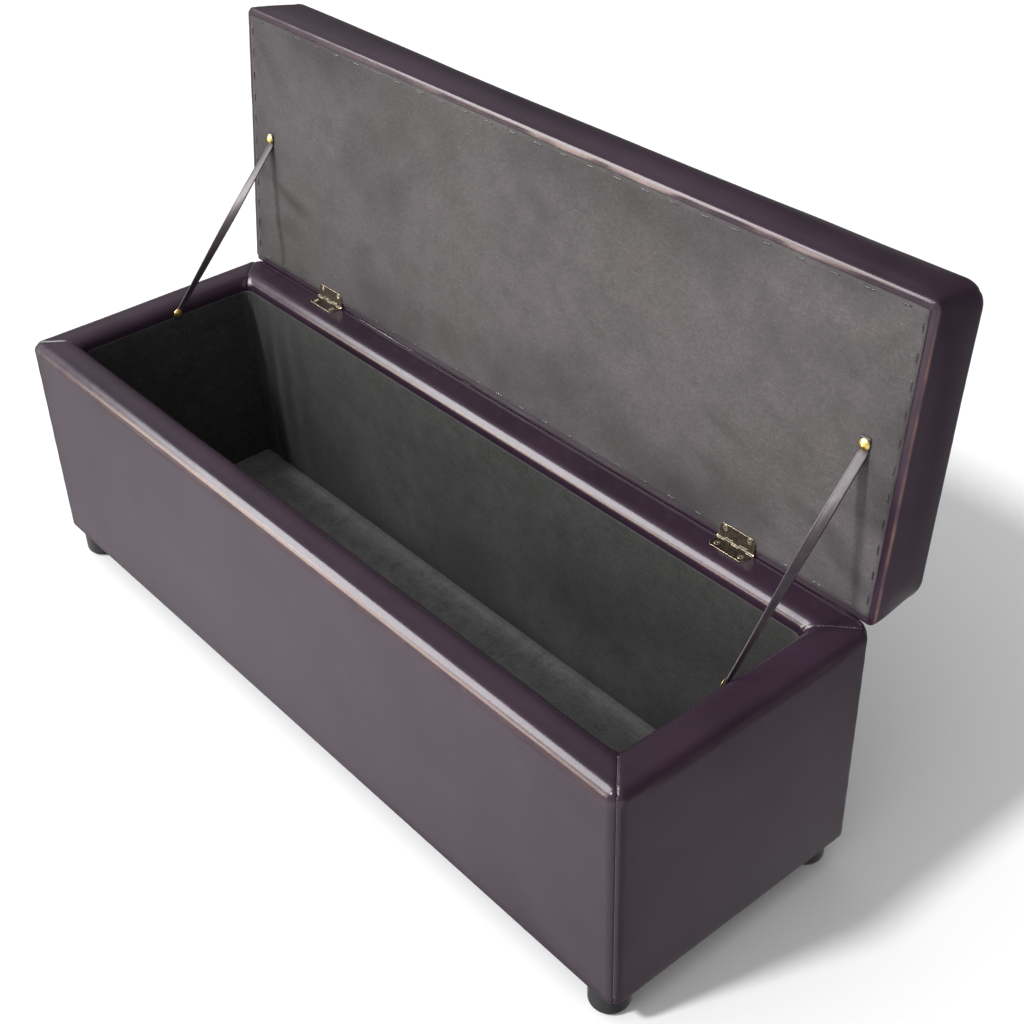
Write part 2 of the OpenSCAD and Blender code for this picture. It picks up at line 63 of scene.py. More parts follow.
HALF_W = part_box("cover_right")[1].x
FRONT_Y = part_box("cover_front")[0].y
BACK_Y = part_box("cover_back")[1].y
HALF_D = (BACK_Y - FRONT_Y) / 2
MID_Y = (BACK_Y + FRONT_Y) / 2
RIM_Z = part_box("cover_front")[1].z
SKIN_LOW_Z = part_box("cover_front")[0].z
LINING_IN = HALF_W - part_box("lining_right")[0].x
FOLD_IN = HALF_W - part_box("cover_right")[0].x
FLOOR_PAD_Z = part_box("floor_pad")[1].z
HINGE = frame["joints"][0]
PIN = Vector(HINGE["pos_m"])
OPEN_ANGLE = math.radians(HINGE["range_deg"][1])
LID = Matrix.Translation(PIN) @ Matrix.Rotation(-OPEN_ANGLE, 4, "X")
SKIN_T = 1.2 * MM


def lid_box(node):
    """Lowest and highest corner of a node in the lid's own frame: closed, origin on the pin."""
    back = LID.inverted()
    points = [back @ v.co for v in NODES[node].data.vertices]
    return Vector(map(min, zip(*points))), Vector(map(max, zip(*points)))


LID_LOW, LID_HIGH = lid_box("lid_cover")
LID_MID_Y = (LID_LOW.y + LID_HIGH.y) / 2
LID_HALF_D = (LID_HIGH.y - LID_LOW.y) / 2
LID_LINING_LOW, LID_LINING_HIGH = lid_box("lid_lining")

# ---- Small helpers ----


def clamp(value, low=0.0, high=1.0):
    return max(low, min(high, value))


def smooth(value):
    t = clamp(value)
    return t * t * (3 - 2 * t)


def bell(distance, width):
    return math.exp(-(distance / width) ** 2)


def waves(x, y, z, pitch):
    """Smooth noise from -1 to 1 whose bumps are about pitch metres apart."""
    return noise.noise(Vector((x, y, z)) / pitch)


def rim_distance(low, high, x, y):
    """How far a place lies inside the nearest side of a rectangle."""
    return min(x - low.x, high.x - x, y - low.y, high.y - y)


def add_object(name, data):
    item = bpy.data.objects.new(name, data)
    bpy.context.scene.collection.objects.link(item)
    return item


def new_mesh(name, points, faces):
    mesh = bpy.data.meshes.new(name)
    mesh.from_pydata([tuple(p) for p in points], [], faces)
    mesh.update()
    return mesh


def mesh_piece(name, points, faces, attributes=None):
    mesh = new_mesh(name, points, faces)
    mesh.shade_smooth()
    for key, values in (attributes or {}).items():
        layer = mesh.attributes.new(key, "FLOAT", "POINT")
        layer.data.foreach_set("value", values)
    return add_object(name, mesh)


def vertex_normals(points, faces):
    mesh = new_mesh("scratch", points, faces)
    normals = [v.normal.copy() for v in mesh.vertices]
    bpy.data.meshes.remove(mesh)
    return normals


def ring_faces(base, rings, sides):
    """The quads between rings of points that follow each other from base."""
    faces = []
    for first in range(base, base + (rings - 1) * sides, sides):
        for k in range(sides):
            a, b = first + k, first + (k + 1) % sides
            faces.append((a, b, b + sides, a + sides))
    return faces


def tube_faces(base, rings, sides):
    """The same with a cap on both ends."""
    last = base + (rings - 1) * sides
    caps = [tuple(reversed(range(base, base + sides))), tuple(range(last, last + sides))]
    return ring_faces(base, rings, sides) + caps


def thicken(piece, thickness):
    """Gives a sheet its thickness on the side that its faces turn away from."""
    solid = piece.modifiers.new("thickness", "SOLIDIFY")
    solid.thickness = thickness
    solid.offset = -1
    solid.use_even_offset = False
    return piece


def dress(piece, body, material):
    """Gives a finished piece its material and slot, and lets it ride on a body."""
    piece.data.materials.clear()
    piece.data.materials.append(material)
    if body:
        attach(piece, body)
    return piece


# ---- Node trees and the studio ----


class Nodes:
    """A node tree, built one node at a time."""

    def __init__(self, tree):
        self.tree = tree

    def add(self, kind, inputs=None, **settings):
        node = self.tree.nodes.new(kind)
        for key, value in settings.items():
            setattr(node, key, value)
        for key, value in (inputs or {}).items():
            if isinstance(value, bpy.types.NodeSocket):
                self.tree.links.new(value, node.inputs[key])
            else:
                node.inputs[key].default_value = value
        return node

    def math(self, operation, a, b=0.0, clamped=False):
        return self.add("ShaderNodeMath", {0: a, 1: b}, operation=operation, use_clamp=clamped).outputs[0]

    def times(self, a, b, clamped=False):
        return self.math("MULTIPLY", a, b, clamped)

    def span(self, value, low, high, to_low=0.0, to_high=1.0, interpolation="LINEAR"):
        limits = {"Value": value, "From Min": low, "From Max": high, "To Min": to_low, "To Max": to_high}
        return self.add("ShaderNodeMapRange", limits, interpolation_type=interpolation).outputs[0]


CAMERA_PLACE = Vector((1.2693, -0.9375, 1.3643))
CAMERA_AIM = Vector((0.0187, 0.0973, 0.1959))
CAMERA_ROLL = math.radians(-1.77)
CAMERA_LENS = 57.19


def add_camera():
    data = bpy.data.cameras.new("camera")
    data.lens = CAMERA_LENS
    data.sensor_width = 36
    data.clip_end = 60
    camera = add_object("camera", data)
    turn = (CAMERA_AIM - CAMERA_PLACE).to_track_quat("-Z", "Y").to_matrix().to_4x4()
    camera.matrix_world = Matrix.Translation(CAMERA_PLACE) @ turn @ Matrix.Rotation(CAMERA_ROLL, 4, "Z")
    bpy.context.scene.camera = camera


def add_light(name, kind, place, target, energy, colour, up=(0, 0, 1)):
    """A light at a place that faces the target, with its own Y axis leaning towards up."""
    data = bpy.data.lights.new(name, kind)
    data.energy = energy
    data.color = colour
    light = add_object(name, data)
    back = (Vector(place) - Vector(target)).normalized()
    right = Vector(up).cross(back).normalized()
    turn = Matrix((right, back.cross(right), back)).transposed()
    light.matrix_world = Matrix.Translation(place) @ turn.to_4x4()
    return light


def add_softbox(name, place, target, size, radiance, colour, up=(0, 0, 1)):
    """A soft panel that is only seen in reflections."""
    light = add_light(name, "AREA", place, target, radiance * math.pi * size[0] * size[1], colour, up)
    light.data.shape = "RECTANGLE"
    light.data.size, light.data.size_y = size
    light.visible_diffuse = False


def add_room():
    """A soft room: bright in front and overhead, dim behind. Below the floor lies what the skin mirrors."""
    world = bpy.data.worlds.new("room")
    world.use_nodes = True
    room = Nodes(world.node_tree)
    way = room.add("ShaderNodeTexCoord").outputs["Generated"]

    def band(axis, low, high, to_low, to_high):
        """Brightness from to_low to to_high, as the way turns towards an axis from low to high."""
        dot = room.add("ShaderNodeVectorMath", {0: way, 1: Vector(axis).normalized()}, operation="DOT_PRODUCT")
        return room.span(dot.outputs["Value"], low, high, to_low, to_high, "SMOOTHSTEP")

    sky = band((-0.2, -0.75, 0.63), -0.35, 0.95, 0.10, 1.0)
    for_front = band((0.03, -0.83, 0.555), -0.292, 0.03, 0.0, 1.3)
    for_ends = band((0, -0.707, -0.707), -0.15, 0.16, 0.15, 0.47)
    not_left = band((1, 0, 0), -0.9, -0.68, 0.45, 1.0)
    not_underfoot = band((0, 0, -1), 0.75, 0.81, 1.0, 0.6)
    pool = room.times(room.times(room.math("MAXIMUM", for_front, for_ends), not_left), not_underfoot)
    above = band((0, 0, 1), -0.02, 0.02, 0.0, 1.0)
    below = band((0, 0, 1), -0.02, 0.02, 1.0, 0.0)
    strength = room.math("ADD", room.times(sky, above), room.times(pool, below))
    background = room.tree.nodes["Background"]
    room.tree.links.new(strength, background.inputs["Strength"])
    background.inputs["Color"].default_value = (1.0, 0.98, 0.97, 1)
    bpy.context.scene.world = world


def add_lights():
    key = add_light("key", "SUN", (-0.21, -0.654, 0.727), (0, 0, 0), 2.4, (1.0, 0.99, 0.98))
    key.data.angle = math.radians(7)
    add_softbox("overhead_bank", (-1.57, -1.475, 2.21), (0.48, -0.475, 0.61), (1.8, 2.5), 15,
                (0.97, 1.0, 1.0), (0, 0.865, 0.5))
    add_softbox("warm_panel", (-1.83, -2.60, 0.68), (0.52, -0.60, 0.36), (1.9, 1.3), 13,
                (1.0, 0.83, 0.68))
    add_room()
    bpy.context.scene.view_settings.view_transform = "Standard"


def add_floor():
    """A pale disc, wide enough to fill the picture in views from a little above it."""
    reach, rings, around = 32.0, 8, 48
    points = [Vector((0, 0, 0))]
    for ring in range(1, rings + 1):
        for k in range(around):
            a = 2 * math.pi * k / around
            points.append(Vector((math.cos(a), math.sin(a), 0)) * reach * ring / rings)
    faces = [(0, 1 + k, 1 + (k + 1) % around) for k in range(around)]
    faces += [quad[::-1] for quad in ring_faces(1, rings, around)]
    floor = mesh_piece("studio_floor", points, faces)
    floor.data.materials.append(floor_material())
    floor.visible_glossy = False


# ---- Materials ----


class Shader(Nodes):
    """A material's node tree."""

    def __init__(self, name, **constants):
        self.material = bpy.data.materials.new(name)
        self.material.use_nodes = True
        super().__init__(self.material.node_tree)
        self.surface = self.tree.nodes["Principled BSDF"]
        self.place = self.add("ShaderNodeTexCoord").outputs["Object"]
        for key, value in constants.items():
            self.surface.inputs[key.replace("_", " ")].default_value = value

    def set(self, key, socket):
        self.tree.links.new(socket, self.surface.inputs[key])

    def stretched(self, scale):
        return self.add("ShaderNodeMapping", {"Vector": self.place, "Scale": scale}).outputs["Vector"]

    def noise(self, scale, detail=3, roughness=0.5, vector=None, distortion=0.0):
        inputs = {"Vector": vector or self.place, "Scale": scale, "Detail": detail,
                  "Roughness": roughness, "Distortion": distortion}
        return self.add("ShaderNodeTexNoise", inputs).outputs["Fac"]

    def cells(self, scale, vector=None):
        inputs = {"Vector": vector or self.place, "Scale": scale}
        return self.add("ShaderNodeTexVoronoi", inputs).outputs["Distance"]

    def attribute(self, name):
        return self.add("ShaderNodeAttribute", attribute_name=name).outputs["Fac"]

    def mix(self, factor, a, b):
        """Mixes two colours, each a socket or three numbers."""
        a, b = (c if isinstance(c, bpy.types.NodeSocket) else (*c, 1) for c in (a, b))
        return self.add("ShaderNodeMix", {0: factor, 6: a, 7: b}, data_type="RGBA").outputs[2]

    def bump(self, height, distance, strength=1.0, normal=None):
        inputs = {"Height": height, "Distance": distance, "Strength": strength}
        if normal:
            inputs["Normal"] = normal
        return self.add("ShaderNodeBump", inputs).outputs["Normal"]


def floor_material():
    s = Shader("floor_white", Roughness=0.85)
    s.set("Base Color", s.mix(s.noise(1.5), (0.915, 0.93, 0.945), (0.935, 0.95, 0.965)))
    return s.material


def leather_material(name, dark, light, worn_and_highlight, roughness):
    """Smooth leatherette: fine pebble, soft creases, and a paler copper film along the marked edges: partly wear,
    partly a painted highlight.
    """
    s = Shader(name, Specular_IOR_Level=0.36, Specular_Tint=(1.0, 0.95, 0.97, 1))
    patches = s.noise(9, 4, 0.55)
    colour = s.mix(s.span(patches, 0.3, 0.7), dark, light)
    pores = s.cells(1500)
    colour = s.mix(s.span(pores, 0.0, 0.35, 0.28, 0.0), colour, tuple(c * 0.5 for c in dark))
    broad_patchiness = s.span(s.noise(22, 3), 0.35, 0.6, 0.25, 1.0)
    fine_patchiness = s.span(s.noise(90, 4, 0.6), 0.3, 0.7, 0.5, 1.0)
    patchiness = s.times(broad_patchiness, fine_patchiness)
    # Painted highlight: the copper film on the marked edges stands in for peach highlight lines as well as wear.
    wear_and_highlight = s.times(s.attribute("edge"), patchiness)
    colour = s.mix(s.times(wear_and_highlight, 0.8, True), colour, worn_and_highlight)
    colour = s.mix(s.times(s.attribute("seam"), 0.35), colour, tuple(c * 0.6 for c in dark))
    s.set("Base Color", colour)
    s.set("Roughness", s.span(s.noise(140, 4, 0.6), 0.25, 0.75, roughness - 0.03, roughness + 0.05))
    gathers = s.times(s.attribute("seam"), s.noise(150, 2, 0.4))
    soft = s.bump(gathers, 0.0003)
    creases = s.bump(s.noise(38, 3, 0.5), 0.00010, normal=soft)
    grain = s.math("ADD", s.span(pores, 0.0, 0.6), s.times(s.noise(900, 3), 0.6))
    s.set("Normal", s.bump(grain, 0.00001, 0.5, creases))
    return s.material


def cloth_material(name, dark, light, tint, fibre_scale, hem_colour, contrast=0.5):
    """Pressed non-woven cloth: mottled clumps, short crossing fibres, a soft nap, and painted shade from a mark on the
    mesh.
    """
    s = Shader(name, Specular_IOR_Level=0.2, Sheen_Weight=0.07, Sheen_Roughness=0.5)
    clumps = s.noise(38, 5, 0.62)
    colour = s.mix(s.span(clumps, 0.5 - contrast * 0.4, 0.5 + contrast * 0.4), dark, light)
    colour = s.mix(s.times(s.span(s.noise(5, 3, 0.5), 0.4, 0.7), 0.6), colour, tint)
    across = s.noise(fibre_scale, 3, 0.6, s.stretched((1, 0.22, 0.4)), 0.8)
    along = s.noise(fibre_scale, 3, 0.6, s.stretched((0.22, 1, 1)), 0.8)
    fibres = s.math("MAXIMUM", across, along)
    colour = s.mix(s.span(fibres, 0.5, 0.75, 0.0, 0.5), colour, tuple(min(1, c * 1.5 + 0.01) for c in light))
    # The hem rows, marked as edge, take the hem colour: on the wall linings a paler line along the folded top.
    colour = s.mix(s.times(s.attribute("edge"), 0.85, True), colour, hem_colour)
    # Painted shade: the cloth is darkened where the mesh carries a shade mark (low on the walls, between folds, round
    # the lid lining's border and left end), with some random mottle.
    colour = s.mix(s.times(s.attribute("shade_and_mottle"), 0.8, True), colour, tuple(c * 0.4 for c in dark))
    s.set("Base Color", colour)
    s.set("Roughness", s.span(fibres, 0.4, 0.8, 0.95, 0.75))
    rough = s.bump(clumps, 0.0006)
    s.set("Normal", s.bump(fibres, 0.00035, 0.8, rough))
    return s.material


def thread_material(name, dark, light):
    """Spun sewing thread, with the twist of its plies."""
    s = Shader(name, Roughness=0.75, Specular_IOR_Level=0.1)
    twist = s.noise(2500, 2, 0.5)
    s.set("Base Color", s.mix(s.span(twist, 0.35, 0.65), dark, light))
    s.set("Normal", s.bump(twist, 0.0001))
    return s.material


def metal_material(name, base, patina, bright, roughness, edge_reach, patina_from=0.42):
    """Plated metal: patina in patches, rubbed bright on its edges, with fine scratches."""
    s = Shader(name, Metallic=1.0)
    edge_normal = s.add("ShaderNodeBevel", {"Radius": edge_reach}, samples=6).outputs["Normal"]
    flat_normal = s.add("ShaderNodeNewGeometry").outputs["Normal"]
    meet = s.add("ShaderNodeVectorMath", {0: edge_normal, 1: flat_normal}, operation="DOT_PRODUCT")
    rubbed = s.span(meet.outputs["Value"], 0.995, 0.93)
    spots = s.span(s.noise(260, 4, 0.6), patina_from, patina_from + 0.2)
    colour = s.mix(spots, base, patina)
    rubbed = s.times(rubbed, s.span(s.noise(500), 0.3, 0.6, 0.6, 1.0))
    s.set("Base Color", s.mix(rubbed, colour, bright))
    scratches = s.noise(1200, 2, 0.5, s.stretched((0.05, 1, 1)))
    dulled = s.math("ADD", s.times(spots, 0.25), scratches)
    s.set("Roughness", s.span(dulled, 0.4, 0.9, roughness, roughness + 0.25))
    s.set("Normal", s.bump(scratches, 0.00003, 0.5, edge_normal))
    return s.material


def plastic_material(name, dark, light, roughness):
    """Moulded glossy plastic with faint flow marks and scuffs."""
    s = Shader(name, Specular_IOR_Level=0.35)
    s.set("Base Color", s.mix(s.noise(60, 3), dark, light))
    s.set("Roughness", s.span(s.noise(220, 5, 0.65), 0.35, 0.7, roughness, roughness + 0.18))
    s.set("Normal", s.bump(s.noise(90, 2), 0.0002, 0.4))
    return s.material


def timber_material(name, along, dark, light):
    """Planed softwood, with the grain drawn out along one axis."""
    s = Shader(name, Specular_IOR_Level=0.3)
    scale = tuple(0.06 if axis == along else 1.0 for axis in range(3))
    grain = s.noise(70, 5, 0.6, s.stretched(scale), 1.2)
    pores = s.noise(700, 3, 0.6, s.stretched(scale))
    s.set("Base Color", s.mix(s.span(grain, 0.35, 0.65), dark, light))
    s.set("Roughness", s.span(pores, 0.3, 0.7, 0.6, 0.8))
    s.set("Normal", s.bump(s.math("ADD", grain, pores), 0.0003, 0.5))
    return s.material


def board_material(name, dark, light):
    """Pressed board: flecks of chip or fibre under a dull face."""
    s = Shader(name, Specular_IOR_Level=0.25)
    flecks = s.cells(420, vector=s.stretched((1, 0.6, 0.8)))
    s.set("Base Color", s.mix(s.span(flecks, 0.1, 0.7), dark, light))
    s.set("Roughness", s.span(s.noise(300), 0.3, 0.7, 0.7, 0.9))
    s.set("Normal", s.bump(flecks, 0.0002, 0.4))
    return s.material


AUBERGINE_DARK = (0.0235, 0.0118, 0.0225)
AUBERGINE_LIGHT = (0.036, 0.0195, 0.0365)
# Copper film on the edges: partly wear, partly a painted highlight.
COPPER_WEAR_AND_HIGHLIGHT = (0.20, 0.105, 0.078)
PINE_DARK, PINE_LIGHT = (0.42, 0.27, 0.13), (0.66, 0.48, 0.28)


# Name, dark, light, tint, fineness of the fibres, colour of the hem and the contrast of the mottling
CLOTHS = {
    "lining": ("charcoal_lining", (0.020, 0.0204, 0.0202), (0.042, 0.0428, 0.0424), (0.028, 0.0285, 0.028),
               420, (0.045, 0.046, 0.045)),
    "floor_lining": ("charcoal_floor", (0.057, 0.058, 0.058), (0.120, 0.121, 0.120), (0.082, 0.083, 0.082),
                     420, (0.12, 0.12, 0.12)),
    "lid_lining": ("grey_lid_lining", (0.075, 0.067, 0.070), (0.121, 0.108, 0.115), (0.080, 0.074, 0.068),
                   620, (0.065, 0.057, 0.06), 0.9),
    "dust_cover": ("black_dust_cover", (0.010, 0.010, 0.011), (0.022, 0.022, 0.024), (0.015, 0.015, 0.017),
                   480, (0.05, 0.05, 0.05)),
}
# Name, base, patina, bright edge, roughness, reach of the edge and where the patina starts
METALS = {
    "antique_brass": ("antique_brass", (0.068, 0.057, 0.044), (0.028, 0.024, 0.020), (0.58, 0.50, 0.39), 0.32, 0.0004),
    "pin_brass": ("worn_pin_brass", (0.78, 0.60, 0.38), (0.45, 0.32, 0.18), (1.0, 0.86, 0.66), 0.2, 0.0004, 0.55),
    "brass": ("polished_brass", (0.72, 0.52, 0.17), (0.42, 0.28, 0.08), (0.90, 0.74, 0.38), 0.28, 0.0006, 0.6),
    "screw": ("bronzed_screws", (0.16, 0.125, 0.085), (0.05, 0.04, 0.03), (0.75, 0.66, 0.52), 0.3, 0.0004),
    "steel": ("zinc_steel", (0.52, 0.53, 0.55), (0.36, 0.36, 0.37), (0.8, 0.8, 0.8), 0.3, 0.0004),
    "staple": ("dulled_staples", (0.055, 0.055, 0.060), (0.03, 0.03, 0.032), (0.36, 0.36, 0.38), 0.34, 0.0002),
}


def make_materials():
    materials = {
        "leatherette": leather_material("aubergine_leatherette", AUBERGINE_DARK, AUBERGINE_LIGHT, COPPER_WEAR_AND_HIGHLIGHT, 0.22),
        "strap": leather_material("mauve_strap", (0.014, 0.009, 0.013), (0.024, 0.016, 0.022),
                                  (0.050, 0.040, 0.048), 0.40),
        "thread": thread_material("mauve_thread", (0.17, 0.125, 0.17), (0.33, 0.265, 0.325)),
        "strap_thread": thread_material("strap_thread", (0.10, 0.078, 0.095), (0.20, 0.16, 0.19)),
        "foot": plastic_material("black_foot_plastic", (0.006, 0.006, 0.0065), (0.012, 0.012, 0.013), 0.24),
        "board": board_material("chip_board", (0.36, 0.24, 0.13), (0.58, 0.43, 0.26)),
    }
    for key, facts in CLOTHS.items():
        materials[key] = cloth_material(*facts)
    for key, facts in METALS.items():
        materials[key] = metal_material(*facts)
    for along, axis in enumerate("xyz"):
        materials["timber_" + axis] = timber_material("pine_along_" + axis, along, PINE_DARK, PINE_LIGHT)
    return materials


# ---- A skin swept round a rounded rectangle ----

# For each side, the way it runs and the way it faces, counter-clockwise from the front
SIDES = {
    "front": (Vector((1, 0, 0)), Vector((0, -1, 0))),
    "right": (Vector((0, 1, 0)), Vector((1, 0, 0))),
    "back": (Vector((-1, 0, 0)), Vector((0, 1, 0))),
    "left": (Vector((0, -1, 0)), Vector((-1, 0, 0))),
}


class Row:
    """One line of the profile: how far in it lies, the corner radius there, its height and marks."""

    def __init__(self, inset, radius, height, edge, part):
        self.inset, self.radius, self.height = inset, radius, height
        self.edge, self.part = edge, part


class Station:
    """One column: a share of the straight run, or an angle into the corner after it."""

    def __init__(self, side, half_along, half_out, share, angle):
        self.side, self.half_along, self.half_out = side, half_along, half_out
        self.share, self.angle = share, angle

    def straight(self, row):
        """Half the length of the straight run."""
        return self.half_along - row.inset - row.radius

    def point(self, row):
        along, out = SIDES[self.side]
        u = self.share * self.straight(row) + row.radius * math.sin(self.angle)
        v = self.half_out - row.inset - row.radius * (1 - math.cos(self.angle))
        return along * u + out * v + Vector((0, 0, row.height))

    def to_mitre(self, row):
        return (1 - abs(self.share)) * self.straight(row) + row.radius * (QUARTER - abs(self.angle))


def make_stations(half_w, half_d, cell, arc_steps):
    stations = []
    for side in SIDES:
        half_along, half_out = (half_w, half_d) if side in ("front", "back") else (half_d, half_w)
        count = round(2 * half_along / cell)
        places = [(-1, -QUARTER * (1 - k / arc_steps)) for k in range(arc_steps)]
        places += [(2 * k / count - 1, 0) for k in range(count + 1)]
        places += [(1, QUARTER * k / arc_steps) for k in range(1, arc_steps)]
        stations += [Station(side, half_along, half_out, *place) for place in places]
    return stations


class Skin:
    """Rows by stations of points in a closed ring. Faces between two stations belong to the first one's side."""

    def __init__(self, rows, stations, inward=False, wear_and_highlight=None):
        self.rows, self.stations, self.inward, self.wear_and_highlight = rows, stations, inward, wear_and_highlight or {}
        self.points = [s.point(r) for r in rows for s in stations]

    def index(self, row, column):
        return row * len(self.stations) + column % len(self.stations)

    def at(self, index):
        """The row and the station of a point."""
        return self.rows[index // len(self.stations)], self.stations[index % len(self.stations)]

    def faces(self, side=None):
        quads = []
        for r in range(len(self.rows) - 1):
            for c, station in enumerate(self.stations):
                if side in (None, station.side):
                    quad = tuple(self.index(*at) for at in ((r, c), (r, c + 1), (r + 1, c + 1), (r + 1, c)))
                    quads.append(quad[::-1] if self.inward else quad)
        return quads

    def push(self, depth):
        """Moves each point along its normal by depth(row, station, point)."""
        for i, normal in enumerate(vertex_normals(self.points, self.faces())):
            self.points[i] = self.points[i] + normal * depth(*self.at(i), self.points[i])

    def shift(self, matrix):
        self.points = [matrix @ p for p in self.points]

    def piece(self, name, side=None, seam_reach=14 * MM, extra_faces=(), extra_points=()):
        """A mesh of one side or of the whole ring, with its marks and only the points it uses."""
        faces = self.faces(side) + list(extra_faces)
        points = self.points + list(extra_points)
        edge, seam = [0.0] * len(points), [0.0] * len(points)
        for i in range(len(self.points)):
            row, station = self.at(i)
            # Edge marks give leather its copper film, a painted highlight as well as wear.
            edge[i] = row.edge * self.wear_and_highlight.get(station.side, 1.0)
            seam[i] = smooth(1 - station.to_mitre(row) / seam_reach)
        used = sorted({i for face in faces for i in face})
        place = {old: new for new, old in enumerate(used)}
        moved = [tuple(place[i] for i in face) for face in faces]
        marks = {"edge": [edge[i] for i in used], "seam": [seam[i] for i in used]}
        return mesh_piece(name, [points[i] for i in used], moved, marks)

    def start(self, side):
        return next(c for c, s in enumerate(self.stations) if s.side == side)

    def column(self, side):
        """The points up the mitre where a side starts, with the way each faces."""
        normals = vertex_normals(self.points, self.faces())
        first = self.start(side)
        return [(self.points[i], normals[i]) for i in (self.index(r, first) for r in range(len(self.rows)))]


def arc_rows(centre_in, centre_z, reach_in, reach_z, start, end, steps, radius_of, edge_of, part):
    """Rows along an arc round a point, skipping the first. Angles are in degrees."""
    rows = []
    for i in range(1, steps + 1):
        share = i / steps
        a = math.radians(start + (end - start) * share)
        inset = centre_in - reach_in * math.cos(a)
        rows.append(Row(inset, radius_of(inset), centre_z + reach_z * math.sin(a), edge_of(share), part))
    return rows


# ---- Stitches ----


def resample(line, pitch):
    """Points and normals at equal steps along a polyline of (point, normal)."""
    lengths = [0.0]
    for (a, _), (b, _) in zip(line, line[1:]):
        lengths.append(lengths[-1] + (b - a).length)
    count = max(1, int(lengths[-1] / pitch))
    result, k = [], 0
    for i in range(count + 1):
        at = lengths[-1] * i / count
        while k < len(line) - 2 and lengths[k + 1] < at:
            k += 1
        t = clamp((at - lengths[k]) / max(1e-9, lengths[k + 1] - lengths[k]))
        result.append((line[k][0].lerp(line[k + 1][0], t), line[k][1].lerp(line[k + 1][1], t).normalized()))
    return result


def add_stitch(points, faces, start, end, normal, radius):
    """One stitch: a round thread that dips into the skin at both ends."""
    sides = 6
    # How far along each ring lies, its size and its height over the skin, as shares
    rings = ((0.0, 0.35, -0.9), (0.15, 0.85, -0.1), (0.5, 1.0, 0.35), (0.85, 0.85, -0.1), (1.0, 0.35, -0.9))
    run = (end - start).normalized()
    wide = run.cross(normal).normalized()
    base = len(points)
    for share, size, lift in rings:
        middle = start.lerp(end, share) + normal * radius * lift
        for k in range(sides):
            a = 2 * math.pi * k / sides
            points.append(middle + (wide * math.cos(a) + normal * math.sin(a)) * radius * size)
    faces += tube_faces(base, len(rings), sides)


def stitch_lines(name, lines, pitch, radius, cover, crossings=()):
    """A piece of thread: stitches along each line, covering a share of the pitch, and single ones across."""
    points, faces = [], []
    for line in lines:
        spots = resample(line, pitch)
        for (a, normal), (b, _) in zip(spots, spots[1:]):
            add_stitch(points, faces, a, a.lerp(b, cover), normal, radius)
    for start, end, normal in crossings:
        add_stitch(points, faces, start, end, normal, radius)
    return mesh_piece(name, points, faces)


# ---- The box's four covers ----

RIM_EDGE = 13 * MM
ROLL_IN = 15 * MM
ROLL_DEEP = 13 * MM
ROLL_RISE = 1.5 * MM
PLAN_RADIUS = 14 * MM
MITRE_RADIUS = 3 * MM
INNER_RADIUS = 12 * MM
BOX_CELL = 6 * MM
ARC_STEPS = 6
FACE_ROWS = 40
SEAM_GROOVE = 0.9 * MM
# How strongly each side's edges take the copper film, partly a painted highlight.
BOX_WEAR_AND_HIGHLIGHT = {"front": 0.4, "right": 0.2, "back": 0.2, "left": 0.2}


def box_plan_radius(inset):
    """Corner radius of the skin where it lies inset from the outer face."""
    if inset < PLAN_RADIUS - MITRE_RADIUS:
        return PLAN_RADIUS - inset
    roll = smooth((inset - (FOLD_IN - ROLL_IN)) / ROLL_IN)
    return MITRE_RADIUS + (INNER_RADIUS - MITRE_RADIUS) * roll


def box_rows():
    low_edge = 4 * MM
    rows = [Row(i * MM, box_plan_radius(i * MM), SKIN_LOW_Z, 0, "under") for i in (26, 19, 13, 8, 4)]
    rows += arc_rows(low_edge, SKIN_LOW_Z + low_edge, low_edge, low_edge, -90, 0, 4,
                     box_plan_radius, lambda t: 0.0, "low_edge")
    low, high = SKIN_LOW_Z + low_edge, RIM_Z - RIM_EDGE
    for i in range(1, FACE_ROWS + 1):
        rows.append(Row(0, PLAN_RADIUS, low + (high - low) * i / FACE_ROWS, 0, "face"))
    # Edge marks from here on (top of the face, the rim's outer edge, the foot of the roll) give the copper film,
    # partly a painted highlight.
    rows[-1].edge = 0.3
    rows += arc_rows(RIM_EDGE, high, RIM_EDGE, RIM_EDGE, 0, 90, 10,
                     box_plan_radius, lambda t: bell(t - 0.12, 0.12), "edge")
    flat_to = FOLD_IN - ROLL_IN
    for i in range(1, 6):
        inset = RIM_EDGE + (flat_to - RIM_EDGE) * i / 5
        rows.append(Row(inset, box_plan_radius(inset), RIM_Z, 0, "rim"))
    rows += arc_rows(flat_to, RIM_Z - ROLL_DEEP, -ROLL_IN, ROLL_DEEP, 90, 0, 16,
                     box_plan_radius, lambda t: 0.1 * bell(t - 0.8, 0.1), "roll")
    for drop in (16, 19, 24, 31):
        rows.append(Row(FOLD_IN, INNER_RADIUS, RIM_Z - drop * MM, 0, "fold"))
    return rows


def corner_fill(up, radius, most):
    """How far to push a rounded edge out towards the square corner, at a height share up its arc."""
    a = math.asin(clamp(up))
    return min(radius / max(math.sin(a), math.cos(a)) - radius, most)


